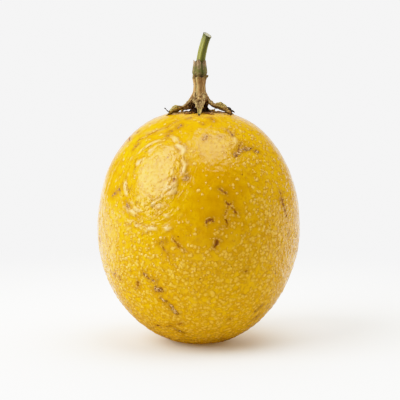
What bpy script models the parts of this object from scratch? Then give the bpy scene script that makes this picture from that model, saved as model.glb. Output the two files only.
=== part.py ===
"""Yellow passion fruit with its cut stem and dried flower remains, standing on its blossom end.

Metres, +Z up. The origin is the middle of the small flat spot that the fruit rests on, -Y is the front and
the stem leans towards +X. Heights on the flower remains are counted from the top of the fruit.
"""

from math import cos, exp, log, pi, radians, sin

import bmesh
import bpy
from mathutils import Matrix, Vector

MM = 0.001
GAP = 0.3 * MM  # between pieces that touch
SHARP_ANGLE = 40  # degrees; edges that turn more than this are drawn sharp

# Fruit: a superellipse above the waist, an ellipse below it, flattened a little at both ends
FRUIT_RADIUS = 33.0 * MM
FRUIT_DEPTH_SHARE = 0.985  # the fruit is slightly narrower from front to back
WAIST = 37.4 * MM  # height of the widest ring
CROWN = 37.9 * MM  # from the waist to the flattened top
UPPER_REACH = 38.9 * MM  # where the upper curve would end with no flattening
LOWER_REACH = 38.2 * MM
UPPER_FULLNESS = 2.2  # superellipse exponents; 2 is a plain ellipse
LOWER_FULLNESS = 2.0
CROWN_BLEND = 0.5 * MM
FRUIT_SEGMENTS = 64
FRUIT_RINGS = 48

# Stalk: the woody flower base, with its thin foot on the fruit and a swollen joint at the top
STALK_X = 0.35 * MM
STALK_PROFILE = [  # (radius, height) in mm, down the outside from the top of the joint
    (1.5, 12.3),
    (2.25, 12.3),
    (2.65, 11.9),
    (2.4, 11.2),
    (2.0, 10.2),
    (1.92, 8.8),
    (2.05, 7.4),
    (2.4, 6.1),
    (3.1, 4.9),
    (3.5, 4.3),
    (3.3, 3.9),
    (1.7, 3.5),
    (1.2, 2.6),
    (1.15, 1.2),
    (1.35, 0.3),
]
STALK_SEGMENTS = 24
BUD_SCAR_RADIUS = 0.5 * MM
BUD_SCAR_REACH = 2.75 * MM
BUD_SCAR_HEIGHT = 11.9 * MM

# Sheath: the dry sleeve that the green stem comes out of, with a torn rim
SHEATH_BOTTOM = 12.6 * MM
SHEATH_TOP = 17.2 * MM
SHEATH_PROFILE = [(2.2, 0.0), (2.3, 0.25), (2.2, 0.55), (2.05, 0.8), (1.95, 1.0)]  # (mm, share of the height)
SHEATH_WALL = 0.4 * MM
SHEATH_TEETH = 4
SHEATH_TOOTH_DEPTH = 1.2 * MM
SHEATH_TOOTH_START = 4  # power of the height share; higher keeps the teeth nearer the rim
SHEATH_SEGMENTS = 32

# Stem: the green flower stalk, cut off slightly flared
STEM_BASE = 12.6 * MM
STEM_ROUTE = [  # (x, height, radius) in mm
    (0.35, 12.6, 1.3),
    (0.5, 15.0, 1.3),
    (0.85, 17.5, 1.3),
    (1.3, 20.0, 1.3),
    (1.95, 22.5, 1.32),
    (2.6, 24.3, 1.38),
    (3.0, 25.3, 1.5),
]
STEM_ROUNDNESS = 4  # steps in each quarter turn, less one

# Sepals: five dried flower leaves, arched over the top of the fruit
SEPAL_STATIONS = 9
SEPAL_SIDES = 10
SEPAL_WIDTH = 3.2 * MM
SEPAL_THICKNESS = 1.7 * MM
SEPAL_ROOT = (4.15 * MM, 3.7 * MM)  # (reach, height) of the end at the stalk
SEPAL_BULGE = 0.25 * MM  # the leaf's middle rises this far over the hump near the stalk
SEPAL_DIP = 0.15 * MM  # and lies this far under it nearer the tip
SEPAL_HUMP_SPAN = (0.3, 0.68)  # where along its reach the hump starts and ends
SEPAL_BEND_SHARES = (0.3, 0.8)  # how much of the sideways bend it has there
SEPAL_TIP_LIFT = 0.35  # height of the tip's middle over the skin, as a share of the thickness
SEPAL_WIDTH_SHARES = (0.75, 0.35, 0.4)  # at the stalk, added by the middle, lost towards the tip
SEPAL_THICKNESS_SHARES = (0.6, 0.45, 0.2)
SEPALS = {  # name: (direction in degrees, reach of the tip, height of the hump, sideways bend), mm
    "sepal_front": (-92, 8.6, 1.2, 0.2),
    "sepal_right": (-17, 11.3, 2.1, -0.5),
    "sepal_back_right": (56, 9.8, 1.5, 0.6),
    "sepal_back_left": (127, 10.2, 1.35, -0.4),
    "sepal_left": (197, 11.3, 1.6, 0.5),
}

# Petals: five thin withered straps that lie on the fruit between the sepals
PETAL_STATIONS = 8
PETAL_SIDES = 8
PETAL_WIDTH = 1.8 * MM
PETAL_THICKNESS = 0.4 * MM
PETAL_ROOT = 3.4 * MM
PETAL_WIDTH_SHARES = (0.6, 0.5, 0.25)
PETALS = {  # name: (direction in degrees, reach of the tip in mm)
    "petal_front_right": (-56, 8.2),
    "petal_right": (19, 9.4),
    "petal_back": (92, 8.6),
    "petal_left": (170, 9.6),
    "petal_front_left": (-131, 7.6),
}

# Crown of threads: the withered ring of threads round the foot of the stalk, as its outer shape
THREADS_RING_RADIUS = 2.5 * MM
THREADS_THICKNESS = 0.9 * MM
THREADS_SEGMENTS = 32
THREADS_SIDES = 10


def material(name, colour, roughness):
    made = bpy.data.materials.new(name)
    made.use_nodes = True
    shader = made.node_tree.nodes["Principled BSDF"]
    shader.inputs["Base Color"].default_value = (*colour, 1.0)
    shader.inputs["Roughness"].default_value = roughness
    return made


def add_object(name, data, finish, collection):
    obj = bpy.data.objects.new(name, data)
    data.materials.append(finish)
    collection.objects.link(obj)
    return obj


def shade(mesh):
    mesh.shade_smooth()
    mesh.set_sharp_from_angle(angle=radians(SHARP_ANGLE))


def crown_height(share):
    """Height above the waist of the upper skin, at this share of the radius, flattened towards the top."""
    free = UPPER_REACH * (1 - min(share, 1) ** UPPER_FULLNESS) ** (1 / UPPER_FULLNESS)
    return -CROWN_BLEND * log(exp(-free / CROWN_BLEND) + exp(-CROWN / CROWN_BLEND))


FRUIT_TOP = WAIST + crown_height(0)


def skin_drop(reach):
    """How far the skin lies below the top of the fruit, this far from the axis."""
    return crown_height(0) - crown_height(reach / FRUIT_RADIUS)


def shape_fruit_point(point):
    """Moves a point of the unit sphere to the fruit's skin."""
    flat = Vector((point.x, point.y)).normalized() if point.xy.length > 1e-6 else Vector((0, 0))
    if point.z >= 0:
        share = point.xy.length ** (2 / UPPER_FULLNESS)
        height = WAIST + crown_height(share)
    else:
        share = point.xy.length ** (2 / LOWER_FULLNESS)
        height = max(WAIST - LOWER_REACH * abs(point.z) ** (2 / LOWER_FULLNESS), 0)
    radius = FRUIT_RADIUS * share
    return Vector((flat.x * radius, flat.y * radius * FRUIT_DEPTH_SHARE, height))


def make_fruit(finish, collection):
    form = bmesh.new()
    bmesh.ops.create_uvsphere(form, u_segments=FRUIT_SEGMENTS, v_segments=FRUIT_RINGS, radius=1)
    for vert in form.verts:
        vert.co = shape_fruit_point(vert.co)
    mesh = bpy.data.meshes.new("fruit")
    form.to_mesh(mesh)
    form.free()
    shade(mesh)
    return add_object("fruit", mesh, finish, collection)


def turned(name, profile, segments, finish, collection):
    """A profile of (radius, height) turned round Z and closed at both ends."""
    points = [Vector((radius, 0, height)) for radius, height in profile]
    points = [Vector((0, 0, points[0].z)), *points, Vector((0, 0, points[-1].z))]
    edges = [(i, i + 1) for i in range(len(points) - 1)]
    mesh = bpy.data.meshes.new(name)
    mesh.from_pydata(points, edges, [])
    obj = add_object(name, mesh, finish, collection)
    screw = obj.modifiers.new("turn", "SCREW")
    screw.steps = screw.render_steps = segments
    screw.use_merge_vertices = True
    screw.merge_threshold = 1e-5
    screw.use_smooth_shade = True
    return obj


def make_stalk(finish, parts, cutters):
    profile = [(radius * MM, height * MM) for radius, height in STALK_PROFILE]
    stalk = turned("stalk", profile, STALK_SEGMENTS, finish, parts)
    stalk.location = (STALK_X, 0, FRUIT_TOP)

    nub_form = bmesh.new()
    bmesh.ops.create_icosphere(nub_form, subdivisions=2, radius=BUD_SCAR_RADIUS)
    nub_mesh = bpy.data.meshes.new("bud_scar")
    nub_form.to_mesh(nub_mesh)
    nub_form.free()
    nub = add_object("bud_scar", nub_mesh, finish, cutters)
    nub.location = (STALK_X + BUD_SCAR_REACH, 0, FRUIT_TOP + BUD_SCAR_HEIGHT)
    nub.hide_render = True
    nub.display_type = "WIRE"

    join = stalk.modifiers.new("bud scar", "BOOLEAN")
    join.operation = "UNION"
    join.object = nub
    return stalk


def make_sheath(finish, collection):
    """A sleeve with one row of points for each station, whose rim rises and falls in teeth."""
    height = SHEATH_TOP - SHEATH_BOTTOM
    form = bmesh.new()
    rows = []
    for radius, share in SHEATH_PROFILE:
        row = []
        for step in range(SHEATH_SEGMENTS):
            turn = 2 * pi * step / SHEATH_SEGMENTS
            notch = SHEATH_TOOTH_DEPTH * (1 + cos(SHEATH_TEETH * turn)) / 2 * share**SHEATH_TOOTH_START
            row.append(
                form.verts.new((radius * MM * cos(turn), radius * MM * sin(turn), height * share - notch))
            )
        rows.append(row)
    for lower, upper in zip(rows, rows[1:]):
        for step in range(SHEATH_SEGMENTS):
            after = (step + 1) % SHEATH_SEGMENTS
            form.faces.new((lower[step], lower[after], upper[after], upper[step]))
    mesh = bpy.data.meshes.new("sheath")
    form.to_mesh(mesh)
    form.free()
    shade(mesh)
    sheath = add_object("sheath", mesh, finish, collection)
    sheath.location = (STALK_X, 0, FRUIT_TOP + SHEATH_BOTTOM)
    wall = sheath.modifiers.new("wall", "SOLIDIFY")
    wall.thickness = SHEATH_WALL
    wall.offset = -1
    return sheath


def make_stem(finish, collection):
    curve = bpy.data.curves.new("stem", "CURVE")
    curve.dimensions = "3D"
    curve.bevel_depth = 1 * MM
    curve.bevel_resolution = STEM_ROUNDNESS
    curve.use_fill_caps = True
    spline = curve.splines.new("POLY")
    spline.points.add(len(STEM_ROUTE) - 1)
    for point, (x, height, radius) in zip(spline.points, STEM_ROUTE):
        point.co = (x * MM, 0, height * MM - STEM_BASE, 1)
        point.radius = radius
    stem = add_object("stem", curve, finish, collection)
    stem.location = (0, 0, FRUIT_TOP + STEM_BASE)
    return stem


def loft(name, rings, finish, collection):
    """A closed skin over rings of points, each with the same number of points, capped at both ends."""
    form = bmesh.new()
    rows = [[form.verts.new(point) for point in ring] for ring in rings]
    sides = len(rows[0])
    for near, far in zip(rows, rows[1:]):
        for i in range(sides):
            j = (i + 1) % sides
            form.faces.new((near[i], near[j], far[j], far[i]))
    form.faces.new(list(reversed(rows[0])))
    form.faces.new(rows[-1])
    bmesh.ops.recalc_face_normals(form, faces=form.faces)
    mesh = bpy.data.meshes.new(name)
    form.to_mesh(mesh)
    form.free()
    shade(mesh)
    return add_object(name, mesh, finish, collection)


def strap_ring(centre, along, width, thickness, sides):
    """An oval ring of points round centre, square to the direction along, which lies in the XZ plane."""
    up = Vector((-along.z, 0, along.x)).normalized()
    across = Vector((0, 1, 0))
    turns = [2 * pi * i / sides for i in range(sides)]
    return [centre + across * (width / 2 * cos(t)) + up * (thickness / 2 * sin(t)) for t in turns]


def strap(name, line, widths, thicknesses, direction, sides, finish, collection):
    """A tapered strap along a line of (reach, sideways, height) points, turned to a direction in degrees."""
    rings = []
    for i, centre in enumerate(line):
        along = line[min(i + 1, len(line) - 1)] - line[max(i - 1, 0)]
        rings.append(strap_ring(centre, along, widths[i], thicknesses[i], sides))
    made = loft(name, rings, finish, collection)
    made.matrix_world = Matrix.Translation((STALK_X, 0, FRUIT_TOP)) @ Matrix.Rotation(
        radians(direction), 4, "Z"
    )
    return made


def smooth_line(points, count):
    """Points at even steps along a smooth curve through a few given ones (Catmull-Rom)."""
    padded = [2 * points[0] - points[1], *points, 2 * points[-1] - points[-2]]
    line = []
    for step in range(count):
        place = step / (count - 1) * (len(points) - 1)
        i = min(int(place), len(points) - 2)
        t = place - i
        before, start, end, after = padded[i : i + 4]
        line.append(
            0.5
            * (
                2 * start
                + (end - before) * t
                + (2 * before - 5 * start + 4 * end - after) * t**2
                + (3 * start - before - 3 * end + after) * t**3
            )
        )
    return line


def swelling(size, parts, power, stations):
    """Sizes along a strap: a share at its root, more in the middle, and less towards the tip."""
    root, middle, lost = parts
    places = [i / (stations - 1) for i in range(stations)]
    return [size * (root + middle * sin(pi * place) - lost * place**power) for place in places]


def make_sepal(name, direction, reach, hump, bend, finish, collection):
    tip, rise, sideways = reach * MM, hump * MM, bend * MM
    rest = GAP + SEPAL_THICKNESS * SEPAL_TIP_LIFT
    start, root_height = SEPAL_ROOT
    near, far = (start + share * (tip - start) for share in SEPAL_HUMP_SPAN)
    near_bend, far_bend = (sideways * share for share in SEPAL_BEND_SHARES)
    line = smooth_line(
        [
            Vector((start, 0, root_height)),
            Vector((near, near_bend, rise + SEPAL_BULGE)),
            Vector((far, far_bend, rise - SEPAL_DIP)),
            Vector((tip, sideways, rest - skin_drop(tip))),
        ],
        SEPAL_STATIONS,
    )
    widths = swelling(SEPAL_WIDTH, SEPAL_WIDTH_SHARES, 3, SEPAL_STATIONS)
    thicknesses = swelling(SEPAL_THICKNESS, SEPAL_THICKNESS_SHARES, 2, SEPAL_STATIONS)
    return strap(name, line, widths, thicknesses, direction, SEPAL_SIDES, finish, collection)


def make_petal(name, direction, reach, finish, collection):
    tip = reach * MM
    turn = radians(direction)
    lift = GAP + PETAL_THICKNESS / 2
    line = []
    for i in range(PETAL_STATIONS):
        place = PETAL_ROOT + (tip - PETAL_ROOT) * i / (PETAL_STATIONS - 1)
        from_axis = Vector((place * cos(turn) + STALK_X, place * sin(turn))).length
        line.append(Vector((place, 0, lift - skin_drop(from_axis))))
    widths = swelling(PETAL_WIDTH, PETAL_WIDTH_SHARES, 1, PETAL_STATIONS)
    thicknesses = [PETAL_THICKNESS] * PETAL_STATIONS
    return strap(name, line, widths, thicknesses, direction, PETAL_SIDES, finish, collection)


def make_threads(finish, collection):
    bpy.ops.mesh.primitive_torus_add(
        major_radius=THREADS_RING_RADIUS,
        minor_radius=THREADS_THICKNESS / 2,
        major_segments=THREADS_SEGMENTS,
        minor_segments=THREADS_SIDES,
        location=(STALK_X, 0, FRUIT_TOP + GAP + THREADS_THICKNESS / 2),
    )
    ring = bpy.context.active_object
    ring.name = ring.data.name = "threads"
    ring.data.materials.append(finish)
    shade(ring.data)
    for holder in list(ring.users_collection):
        holder.objects.unlink(ring)
    collection.objects.link(ring)
    return ring


def main():
    for obj in list(bpy.data.objects):
        bpy.data.objects.remove(obj)
    parts = bpy.data.collections.new("passion_fruit")
    cutters = bpy.data.collections.new("cutters")
    bpy.context.scene.collection.children.link(parts)
    bpy.context.scene.collection.children.link(cutters)

    rind = material("rind", (0.72, 0.42, 0.02), 0.35)
    bark = material("bark", (0.38, 0.24, 0.11), 0.75)
    dry_sleeve = material("dry_sleeve", (0.40, 0.26, 0.15), 0.8)
    green_bark = material("green_bark", (0.18, 0.20, 0.03), 0.5)
    dry_leaf = material("dry_leaf", (0.36, 0.26, 0.09), 0.7)
    withered = material("withered", (0.07, 0.03, 0.015), 0.85)

    make_fruit(rind, parts)
    make_stalk(bark, parts, cutters)
    make_sheath(dry_sleeve, parts)
    make_stem(green_bark, parts)
    for name, (direction, reach, hump, bend) in SEPALS.items():
        make_sepal(name, direction, reach, hump, bend, dry_leaf, parts)
    for name, (direction, reach) in PETALS.items():
        make_petal(name, direction, reach, withered, parts)
    make_threads(withered, parts)


main()
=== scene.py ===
"""Looks of the passion fruit: the yellow fruit with its wrinkles and scars, and the dried flower remains.

Lengths here are in millimetres until a mesh is made. +Z is up, -Y is the front, and the origin is the
middle of the flat spot under the fruit. Heights on the flower remains are counted from the top of the
fruit. A place on the skin is (longitude in degrees, height in mm), where longitude 0 is the front and 90
the right side.
"""

import random
from math import cos, degrees, pi, radians, sin, sqrt

import bpy
import numpy as np
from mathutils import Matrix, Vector, noise


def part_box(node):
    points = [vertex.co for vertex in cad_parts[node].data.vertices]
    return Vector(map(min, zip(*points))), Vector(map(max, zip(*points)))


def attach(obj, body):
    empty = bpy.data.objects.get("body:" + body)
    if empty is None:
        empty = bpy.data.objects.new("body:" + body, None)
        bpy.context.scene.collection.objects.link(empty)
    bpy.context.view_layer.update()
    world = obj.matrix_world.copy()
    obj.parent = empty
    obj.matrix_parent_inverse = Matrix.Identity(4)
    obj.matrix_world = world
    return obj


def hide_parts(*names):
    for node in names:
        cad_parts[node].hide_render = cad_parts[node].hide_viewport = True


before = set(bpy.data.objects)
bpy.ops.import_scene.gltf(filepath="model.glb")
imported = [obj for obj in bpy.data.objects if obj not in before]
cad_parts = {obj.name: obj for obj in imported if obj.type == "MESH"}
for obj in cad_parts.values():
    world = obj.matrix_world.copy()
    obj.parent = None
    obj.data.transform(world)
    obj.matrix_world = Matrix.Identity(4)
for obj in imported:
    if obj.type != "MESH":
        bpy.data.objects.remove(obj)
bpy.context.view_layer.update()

MM = 0.001

# The fruit's form, as in the CAD model
fruit_low, fruit_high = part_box("fruit")
RADIUS = (fruit_high.x - fruit_low.x) / 2 / MM
DEPTH_SHARE = (fruit_high.y - fruit_low.y) / (fruit_high.x - fruit_low.x)
FRUIT_TOP = fruit_high.z / MM
WAIST = 37.4  # height of the widest ring
CROWN = 37.9  # from the waist to the flattened top
UPPER_REACH = 38.9
LOWER_REACH = 38.2
UPPER_FULLNESS = 2.2
LOWER_FULLNESS = 2.0
CROWN_BLEND = 0.5
SPOT_BLEND = 0.12  # rounds the edge of the flat spot

SKIN_CUTS = 127  # squares along each edge of the sphere's six patches
VOXEL = 0.07  # size of the faces of the small fused pieces

STALK_X = 0.35  # the flower remains stand this far right of the fruit's axis


# ---------------------------------------------------------------- numbers


def columns(*values):
    """Rows made of these columns. Each is an array, or one number for all rows."""
    return np.stack(np.broadcast_arrays(*values), axis=-1)


def unit(vectors):
    return vectors / np.linalg.norm(vectors, axis=-1, keepdims=True)


def noise_at(points, size, seed):
    """Smooth noise from about -1 to 1 at each point, with features of this size."""
    shift = np.array((7.3, 3.1, 5.7)) * seed
    return np.array([noise.noise(p) for p in (np.asarray(points) / size + shift).tolist()])


def noise_vectors(points, size, seed):
    return columns(*(noise_at(points, size, seed + i) for i in range(3)))


def smooth_step(low, high, value):
    share = np.clip((value - low) / (high - low), 0, 1)
    return share * share * (3 - 2 * share)


def bell(value):
    return np.exp(-(value**2) / 2)


def full_turn(count):
    """Evenly spread angles, from 0 up to a full turn."""
    return np.linspace(0, 2 * pi, count, endpoint=False)


def smooth_line(points, count):
    """Rows at even steps along a smooth curve (Catmull-Rom) through a few given rows of numbers."""
    rows = np.asarray(points, float)
    padded = np.vstack([2 * rows[0] - rows[1], rows, 2 * rows[-1] - rows[-2]])
    place = np.linspace(0, len(rows) - 1, count)
    first = np.minimum(place.astype(int), len(rows) - 2)
    t = (place - first)[:, None]
    before, start, end, after = (padded[first + i] for i in range(4))
    bend = 2 * before - 5 * start + 4 * end - after
    twist = 3 * start - before - 3 * end + after
    return 0.5 * (2 * start + (end - before) * t + bend * t**2 + twist * t**3)


# ---------------------------------------------------------------- meshes


def add_piece(name, points, faces, node, finish):
    """A piece from points in mm, standing for a CAD node."""
    mesh = bpy.data.meshes.new(name)
    mesh.from_pydata((np.asarray(points) * MM).tolist(), [], faces)
    mesh.materials.append(finish)
    mesh.shade_smooth()
    piece = bpy.data.objects.new(name, mesh)
    bpy.context.scene.collection.objects.link(piece)
    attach(piece, "root")
    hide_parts(node)
    return piece


def add_attributes(piece, **looks):
    """Stores numbers or vectors, one for each point of the mesh, for its material to read."""
    for name, values in looks.items():
        values = np.asarray(values, np.float32)
        kind, field = ("FLOAT", "value") if values.ndim == 1 else ("FLOAT_VECTOR", "vector")
        piece.data.attributes.new(name, kind, "POINT").data.foreach_set(field, values.ravel())


def read_vectors(items, key):
    values = np.empty(len(items) * 3, np.float32)
    items.foreach_get(key, values)
    return values.reshape(-1, 3).astype(float)


def points_of(piece):
    return read_vectors(piece.data.vertices, "co") / MM


def push_out(piece, amounts):
    """Moves each point square to the surface, outward by its amount in mm."""
    normals = read_vectors(piece.data.vertex_normals, "vector")
    points = points_of(piece) + normals * amounts[:, None]
    piece.data.vertices.foreach_set("co", (points * MM).astype(np.float32).ravel())
    piece.data.update()


def roughen(piece, coarse, fine, seed, coarse_size=0.75, fine_size=0.3):
    """Warts and wrinkles, pushed out along the surface."""
    points = points_of(piece)
    coarse_push = coarse * noise_at(points, coarse_size, seed)
    push_out(piece, coarse_push + fine * noise_at(points, fine_size, seed + 1))


def ring_faces(count, around, closed=False):
    """Squares between neighbouring rings of points. If closed, the last ring joins the first."""
    faces = []
    for row in range(count if closed else count - 1):
        near, far = row * around, (row + 1) % count * around
        for i in range(around):
            j = (i + 1) % around
            faces.append((near + i, near + j, far + j, far + i))
    return faces


def skin_over(rings):
    """Points and faces of a closed skin over rings of points, with a fan at both ends."""
    rings = np.asarray(rings, float)
    count, around, _ = rings.shape
    points = np.vstack([rings.reshape(-1, 3), rings[0].mean(0), rings[-1].mean(0)])
    faces = ring_faces(count, around)
    last = (count - 1) * around
    for i in range(around):
        j = (i + 1) % around
        faces.append((j, i, count * around))
        faces.append((last + i, last + j, count * around + 1))
    return points, faces


def joined(parts):
    """Points and faces of several forms in one mesh."""
    points, faces, start = [], [], 0
    for part_points, part_faces in parts:
        points.append(part_points)
        faces += [tuple(i + start for i in face) for face in part_faces]
        start += len(part_points)
    return np.vstack(points), faces


def fuse(piece):
    """Joins a piece's overlapping closed forms into one skin of small, even faces."""
    modifier = piece.modifiers.new("fuse", "REMESH")
    modifier.mode = "VOXEL"
    modifier.voxel_size = VOXEL * MM
    fused = bpy.data.meshes.new_from_object(piece.evaluated_get(bpy.context.evaluated_depsgraph_get()))
    piece.modifiers.clear()
    loose = piece.data
    piece.data = fused
    bpy.data.meshes.remove(loose)
    fused.name = piece.name
    fused.shade_smooth()


def tube(line, radii, around):
    """Rings of points along a line, each square to it and with its own radius."""
    line = np.asarray(line, float)
    along = unit(np.gradient(line, axis=0))
    side = unit(np.cross(along, (0.31, 0.93, 0.17)))  # any direction that no tube here runs along
    turn = full_turn(around)[:, None]
    ring = np.cos(turn) * side[:, None] + np.sin(turn) * np.cross(along, side)[:, None]
    return line[:, None] + ring * np.asarray(radii)[:, None, None]


# ---------------------------------------------------------------- materials


class Nodes:
    """A node tree, added to with short calls.

    Values are numbers, colours, names of colours in the palette, or another node's output.
    """

    def __init__(self, tree, palette=()):
        self.tree = tree
        self.palette = dict(palette)

    def put(self, socket, value):
        if isinstance(value, str):
            value = self.palette[value]
        if isinstance(value, bpy.types.NodeSocket):
            self.tree.links.new(value, socket)
        elif socket.type == "RGBA":
            socket.default_value = (*value, 1.0)
        else:
            socket.default_value = value

    def node(self, kind, settings=(), **inputs):
        made = self.tree.nodes.new("ShaderNode" + kind)
        for key, value in dict(settings).items():
            setattr(made, key, value)
        for key, value in inputs.items():
            self.put(made.inputs[key.replace("_", " ")], value)
        return made

    def maths(self, operation, *values, kind="Math", clamp=False):
        made = self.node(kind, {"operation": operation})
        if clamp:
            made.use_clamp = True
        for socket, value in zip(made.inputs, values):
            self.put(socket, value)
        return made.outputs[0]

    def times(self, first, second):
        return self.maths("MULTIPLY", first, second)

    def linear(self, value, slope, start):
        return self.maths("MULTIPLY_ADD", value, slope, start)

    def stretch(self, vector, factors):
        return self.maths("MULTIPLY", vector, factors, kind="VectorMath")

    def place(self):
        """The place on the object, in mm."""
        return self.stretch(self.node("TexCoord").outputs["Object"], (1 / MM,) * 3)

    def attribute(self, name, output="Fac"):
        return self.node("Attribute", {"attribute_name": name}).outputs[output]

    def split(self, vector):
        return self.node("SeparateXYZ", Vector=vector).outputs

    def noise(self, vector, size, detail=2.0, roughness=0.5, warp=0.0):
        form = {"Scale": 1 / size, "Detail": detail, "Roughness": roughness, "Distortion": warp}
        return self.node("TexNoise", Vector=vector, **form).outputs["Fac"]

    def cells(self, vector, size):
        return self.node("TexVoronoi", Vector=vector, Scale=1 / size).outputs

    def step(self, value, low, high, start=0.0, end=1.0):
        """Goes smoothly from start to end as the value goes from low to high."""
        ends = {"Value": value, "From_Min": low, "From_Max": high, "To_Min": start, "To_Max": end}
        return self.node("MapRange", {"interpolation_type": "SMOOTHSTEP"}, **ends).outputs["Result"]

    def between(self, share, first, second):
        """A number between two others."""
        return self.node("Mix", Factor=share, A=first, B=second).outputs["Result"]

    def mix(self, share, first, second):
        """A colour between two others."""
        made = self.node("Mix", {"data_type": "RGBA"}, Factor=share)
        for socket, value in zip([s for s in made.inputs if s.type == "RGBA"], (first, second)):
            self.put(socket, value)
        return next(s for s in made.outputs if s.type == "RGBA")


class Shader(Nodes):
    """A material's nodes. Its colour is built up coat by coat."""

    def __init__(self, name, palette=()):
        self.material = bpy.data.materials.new(name)
        self.material.use_nodes = True
        super().__init__(self.material.node_tree, palette)
        self.surface = self.tree.nodes["Principled BSDF"]
        self.colour = None

    def tint(self, colour, share, strength=1.0):
        """Lays another colour over the colour so far."""
        if strength != 1.0:
            share = self.times(share, strength)
        self.colour = self.mix(share, self.colour, colour)

    def tint_where(self, **strengths):
        """Lays on colours of the palette where the attributes of the same names say."""
        for name, strength in strengths.items():
            self.tint(name, self.attribute(name), strength)

    def fibres(self, factors, size):
        """Stripes along the grain attribute, which holds (across, along, outward) in mm."""
        place = self.stretch(self.attribute("grain", "Vector"), factors)
        return self.noise(place, size, detail=3, roughness=0.6)

    def blend(self, share, first, second):
        """Mixes two finished surfaces."""
        made = self.node("MixShader")
        for socket, value in zip(made.inputs, (share, first, second)):
            self.put(socket, value)
        return made.outputs[0]

    def emission(self, brightness):
        return self.node("Emission", Strength=brightness).outputs[0]

    def finish(self, roughness, relief, **constants):
        """Roughness and relief (a height in mm) of the surface, and its constant settings."""
        bump = self.node("Bump", Height=relief, Distance=MM, Strength=1.0)
        self.put(self.surface.inputs["Base Color"], self.colour)
        self.put(self.surface.inputs["Roughness"], roughness)
        self.put(self.surface.inputs["Normal"], bump.outputs["Normal"])
        for key, value in constants.items():
            self.surface.inputs[key.replace("_", " ")].default_value = value
        return self.material


class DrySkin(Shader):
    """A dried plant skin with fibres along it."""

    def __init__(self, name, palette, fibre=0.35):
        super().__init__(name, palette)
        self.here = self.place()
        self.grain = self.split(self.attribute("grain", "Vector"))
        self.stripes = self.fibres((1, 0.16, 0.5), fibre)
        self.colour = self.mix(self.step(self.stripes, 0.36, 0.62), "dark", "pale")
        self.tint("blotch", self.step(self.noise(self.here, 1.5, detail=3, roughness=0.6), 0.5, 0.68, 0, 0.8))


DRY_ROUGHNESS = 0.75

# Colours, as linear red, green and blue
RIND_COLOURS = {
    "golden": (0.80, 0.385, 0.0004), "lemon": (0.875, 0.470, 0.0006), "mottle": (0.65, 0.285, 0.0004),
    # the bright colour is painted light: a lighter yellow low down that stands in for light from the floor
    # the gap colour is painted shade between the bumps of the peel
    "tan": (0.56, 0.228, 0.0005), "gap": (0.63, 0.262, 0.0004), "bright": (1.0, 0.54, 0.0008),
    "fleck_shadow": (0.61, 0.262, 0.0003), "high_fleck": (1.0, 0.56, 0.08), "low_fleck": (1.0, 0.55, 0.05),
    # the valley colour is painted shade in the wrinkles' valleys
    "net": (0.88, 0.48, 0.010), "pore": (0.24, 0.08, 0.001), "valley_shade": (0.60, 0.240, 0.001),
    # the beside colour is painted shadow beside the folds
    # the crest colour is a painted highlight: the key light's glint on the folds' crests
    "beside": (0.46, 0.195, 0.001), "crest": (1.0, 0.66, 0.24), "halo": (0.50, 0.222, 0.002),
    "cork": (0.50, 0.22, 0.015), "pale_cork": (0.98, 0.62, 0.24), "cork_speck": (0.17, 0.055, 0.002),
    # the crack_depth_shade colour is painted shade in the middle of each crack, over the crack's own dark
    # brown
    "scab_rim": (0.28, 0.098, 0.001), "crack": (0.38, 0.132, 0.0004), "crack_depth_shade": (0.20, 0.058, 0.0002),
    # the stain colour is partly a stain and partly painted shadow of the flower remains
    "crack_side": (0.90, 0.50, 0.12), "stain_and_flower_shadow": (0.40, 0.165, 0.012),
}
BARK_COLOURS = {
    "pale": (0.62, 0.40, 0.14), "dark": (0.25, 0.12, 0.032), "blotch": (0.44, 0.22, 0.065),
    "speck": (0.11, 0.048, 0.016), "joint": (0.13, 0.095, 0.022), "browner": (0.36, 0.19, 0.06),
    "groove": (0.17, 0.085, 0.02), "seam": (0.66, 0.52, 0.20), "shade": (0.05, 0.03, 0.010),
}
SLEEVE_COLOURS = {
    "pale": (0.48, 0.325, 0.175), "dark": (0.17, 0.105, 0.045), "blotch": (0.30, 0.185, 0.09),
    # the crease colour is painted shade in the sheath's creases
    "green": (0.135, 0.14, 0.022), "crease": (0.06, 0.065, 0.010), "shade": (0.05, 0.03, 0.012),
}
STEM_COLOURS = {
    # the stem's dark furrow colour is painted shade, and its pale edge colour a painted highlight
    "green": (0.20, 0.20, 0.012), "pale_green": (0.33, 0.32, 0.045), "furrow": (0.11, 0.110, 0.002),
    "painted_edge_light": (0.48, 0.49, 0.20), "aged": (0.065, 0.075, 0.008), "pith": (0.38, 0.35, 0.17),
    "pale_pith": (0.66, 0.62, 0.42), "cut_rim": (0.045, 0.04, 0.012),
}
LEAF_COLOURS = {
    "pale": (0.56, 0.40, 0.15), "dark": (0.24, 0.14, 0.05), "blotch": (0.33, 0.20, 0.07),
    # the under colour is partly the dried inner side's own dark brown and partly painted shade
    "green": (0.45, 0.375, 0.085), "speck": (0.12, 0.052, 0.016), "under": (0.035, 0.018, 0.008),
    "tip": (0.03, 0.015, 0.006),
}
PETAL_COLOURS = {"dark": (0.09, 0.035, 0.008), "pale": (0.36, 0.17, 0.04), "patch": (0.50, 0.27, 0.07)}
THREAD_COLOURS = {"dark": (0.012, 0.005, 0.003), "pale": (0.075, 0.033, 0.013), "patch": (0.24, 0.105, 0.03)}


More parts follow.
